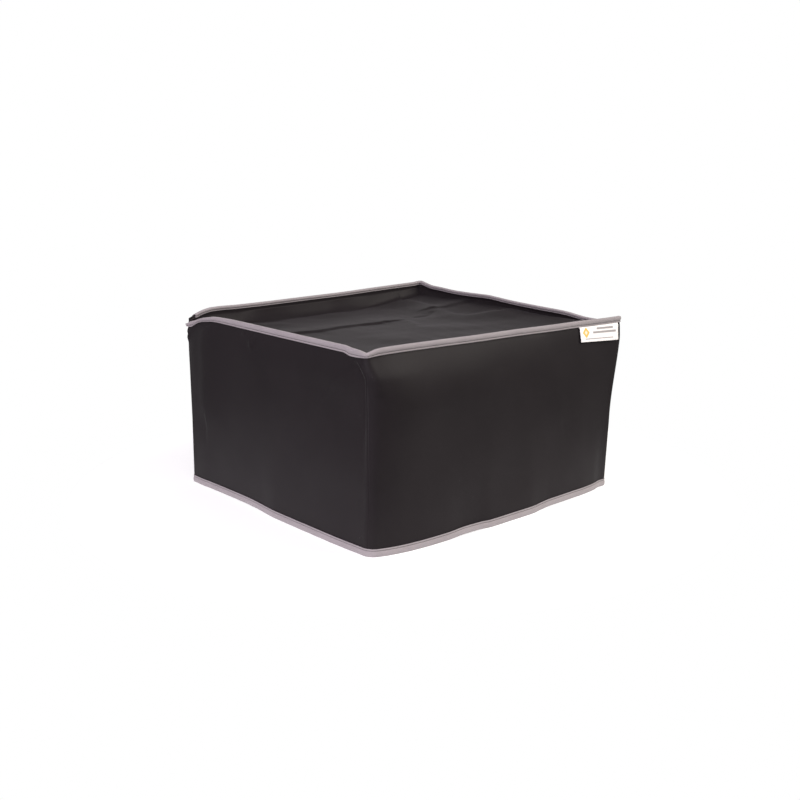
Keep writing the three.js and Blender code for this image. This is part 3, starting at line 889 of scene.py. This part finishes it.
def label_back():
    """Plain white satin."""
    b = Builder("white_label_back")
    fine = b.noise(300.0)
    b.fill(b.shader, {"Base Color": b.blend(fine, *SATIN), "Roughness": b.between(fine, 0.5, 0.66)})
    return b.finish(Specular_IOR_Level=0.3, Normal=b.bump(b.threads(0.35, 0.35), 0.03, 0.6))


def label_face():
    """White satin with a generic printed pattern: an amber diamond beside plain grey bars."""
    b = Builder("white_label")
    along, down = b.flat_place()

    def away(value, middle):
        return b.math("ABSOLUTE", b.math("SUBTRACT", value, middle * METRE))

    def within(distance, reach, soft=0.25):
        return b.ramp(distance, (reach + soft) * METRE, reach * METRE)

    weave = b.threads(0.35, 0.35)
    fine = b.noise(300.0)
    colour = b.blend(fine, *SATIN)
    from_diamond = b.math("ADD", away(along, DIAMOND[0]), away(down, DIAMOND[1]))
    colour = b.blend(within(from_diamond, 7.5, 0.5), colour, (0.80, 0.50, 0.10))
    colour = b.blend(within(from_diamond, 3.2, 0.4), colour, (0.85, 0.75, 0.58))
    for left, right, middle, half in BARS:
        across = within(away(along, (left + right) / 2), (right - left) / 2)
        bar = b.math("MULTIPLY", across, within(away(down, middle), half))
        colour = b.blend(b.math("MULTIPLY", bar, 0.75), colour, (0.16, 0.14, 0.14))
    b.fill(b.shader, {"Base Color": colour, "Roughness": b.between(fine, 0.42, 0.58)})
    return b.finish(Specular_IOR_Level=0.4, Sheen_Weight=0.1, Normal=b.bump(weave, 0.03, 0.6))


def label_piece():
    joint = next(joint for joint in frame["joints"] if joint["child"] == "label")
    hinge = (np.array(joint["pos_m"]) - SHIFT) / METRE
    right = -np.array(joint["axis"], float)
    down = np.array([right[2], 0, -right[0]])
    along = np.linspace(0, LABEL_WIDTH, 56)
    drop = np.linspace(0, LABEL_HEIGHT, 26)
    start = hinge - right * LABEL_WIDTH / 2
    longer = 1 + LABEL_SLANT * along / LABEL_WIDTH
    hang = start + right * along[None, :, None] + down * (drop[:, None] * longer)[..., None]
    fall = np.broadcast_to(drop[:, None], hang.shape[:2])
    run = np.broadcast_to(along[None, :], hang.shape[:2])
    hang[..., 0] -= mix(*LABEL_LEFT, fall / LABEL_HEIGHT)
    shares = np.linspace(0.5, 1, 400)
    for row in hang:
        wall = place(FRONT, shares, 0, row[:, 2].mean())
        against = np.interp(row[:, 0], wall[:, 0], wall[:, 1])
        row[:, 1] = np.minimum(row[:, 1], against - LABEL_GAP)
    hang[..., 1] -= (LABEL_STAND + LABEL_CURL * hump(run, 60, 26)) * smoothstep(fall, 2, LABEL_HEIGHT)
    share = np.interp(hang[0, :, 0], place(FRONT, shares, -0.6, RIM_TAPE_FOOT)[:, 0], shares)
    rows = [place(FRONT, share, -out, RIM_TAPE_FOOT + lift) for lift, out in LABEL_ROOT]
    for step in (0.35, 0.7):
        rows.append(mix(rows[1], hang[0], step))
    points = np.concatenate([np.stack(rows), hang])
    lengths = np.concatenate([[-2.4, -1.8, -1.2, -0.6], drop])
    cloth = np.stack(np.broadcast_arrays(along[None, :], lengths[:, None]), axis=-1)
    materials = [label_face(), label_back()]
    piece = cloth_sheet("label_cloth", points[::-1], cloth[::-1], LABEL_THICKNESS, materials)
    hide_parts("label")
    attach(piece, "label")
    return piece


# ---- The cover ---------------------------------------------------------------

for name, section, point, node in (
    ("rim_tape", RIM_SECTION, rim_tape_point, "top_binding"),
    ("hem_tape", HEM_SECTION, hem_tape_point, "hem_binding"),
):
    stitched = girths(section)[[OUTER_GROOVE, INNER_GROOVE]].tolist()
    grey_tape = binding_tape(f"grey_{name}", (0.25, 0.225, 0.23), (0.32, 0.295, 0.30), stitched)
    tape(name, section, point, node, grey_tape, closed=node == "hem_binding")
top_panel()
for k in range(4):
    wall_panel(k)
tape_stitches("rim_outer_stitches", rim_tape_point, RIM_SECTION[OUTER_GROOVE], "top_outer_thread")
tape_stitches("rim_inner_stitches", rim_tape_point, RIM_SECTION[INNER_GROOVE], "top_inner_thread")
tape_stitches("hem_outer_stitches", hem_tape_point, HEM_SECTION[OUTER_GROOVE], "hem_outer_thread")
tape_stitches("hem_inner_stitches", hem_tape_point, HEM_SECTION[INNER_GROOVE], "hem_inner_thread")
for k in range(4):
    seam_stitches(k)
label_piece()


# ---- Studio ------------------------------------------------------------------

# In metres, round the CAD's own origin.
FLOOR_RADIUS = 0.5
CAMERA = np.array([-1.07089, -1.24353, 0.52182])  # from the middle of the square cover's footprint
CAMERA_LENS = 49.99
CAMERA_DOWN = 13.394  # degrees below the horizon
CAMERA_TURN = -40.768  # degrees anticlockwise from +Y


def studio_floor():
    b = Builder("studio_floor")
    tone = b.blend(b.noise(3.0), (0.60, 0.60, 0.60), (0.63, 0.63, 0.63))
    b.fill(b.shader, {"Base Color": tone, "Emission Color": (1, 1, 1, 1), "Emission Strength": 0.55})
    material = b.finish(Roughness=0.9, Specular_IOR_Level=0.1)
    turns = np.linspace(0, 2 * math.pi, 96, endpoint=False)
    mesh = bpy.data.meshes.new("studio_floor")
    rim = [(FLOOR_RADIUS * math.cos(t), FLOOR_RADIUS * math.sin(t), 0.0) for t in turns]
    mesh.from_pydata(rim, [], [list(range(len(rim)))])
    mesh.materials.append(material)
    floor = bpy.data.objects.new("studio_floor", mesh)
    bpy.context.collection.objects.link(floor)


def aim(direction):
    """The rotation that points a lamp along a direction."""
    x, y, z = direction / np.linalg.norm(direction)
    return (math.acos(-z), 0, math.atan2(-x, y))


def softbox(name, position, target, size, power, colour):
    data = bpy.data.lights.new(name, "AREA")
    data.shape = "RECTANGLE"
    data.size, data.size_y = size
    data.energy = power
    data.color = colour
    lamp = bpy.data.objects.new(name, data)
    lamp.location = position
    lamp.rotation_euler = aim(np.array(target) - np.array(position))
    bpy.context.collection.objects.link(lamp)


def camera():
    data = bpy.data.cameras.new("camera")
    data.sensor_width = 36
    data.lens = CAMERA_LENS
    view = bpy.data.objects.new("camera", data)
    view.location = CAMERA + SHIFT
    view.rotation_euler = (math.radians(90 - CAMERA_DOWN), 0, math.radians(CAMERA_TURN))
    bpy.context.collection.objects.link(view)
    bpy.context.scene.camera = view


def surroundings():
    """A white backdrop for the camera, and a dimmer one for the light that falls on the cover."""
    world = bpy.data.worlds.new("studio")
    world.use_nodes = True
    tree = world.node_tree
    backdrop = tree.nodes["Background"]
    backdrop.inputs["Color"].default_value = (1, 1, 1, 1)
    backdrop.inputs["Strength"].default_value = 1.0
    dim = tree.nodes.new("ShaderNodeBackground")
    dim.inputs["Strength"].default_value = 0.32
    path = tree.nodes.new("ShaderNodeLightPath")
    blend = tree.nodes.new("ShaderNodeMixShader")
    tree.links.new(path.outputs["Is Camera Ray"], blend.inputs[0])
    tree.links.new(dim.outputs[0], blend.inputs[1])
    tree.links.new(backdrop.outputs[0], blend.inputs[2])
    tree.links.new(blend.outputs[0], tree.nodes["World Output"].inputs["Surface"])
    bpy.context.scene.world = world


studio_floor()
camera()
softbox("softbox_top", (-0.6, -0.1, 1.6), (0, 0, 0.2), (1.4, 1.4), 5, (1, 0.98, 1))
softbox("softbox_right", (1.4, -1.6, 1.75), (0, 0, 0.2), (1.4, 1.9), 66, (1.0, 0.94, 0.87))
softbox("softbox_left", (-2.2, -0.4, 1.15), (0, 0, 0.15), (2.4, 1.9), 52, (0.98, 0.86, 1.0))
softbox("softbox_back", (1.25, 1.45, 0.68), (0, 0, 0.24), (2.4, 0.5), 2, (1, 0.94, 0.97))
softbox("softbox_front", (-1.7, -2.0, 0.9), (0, 0, 0.15), (2.4, 1.4), 16, (1, 0.95, 0.97))
surroundings()
bpy.context.scene.view_settings.view_transform = "Standard"
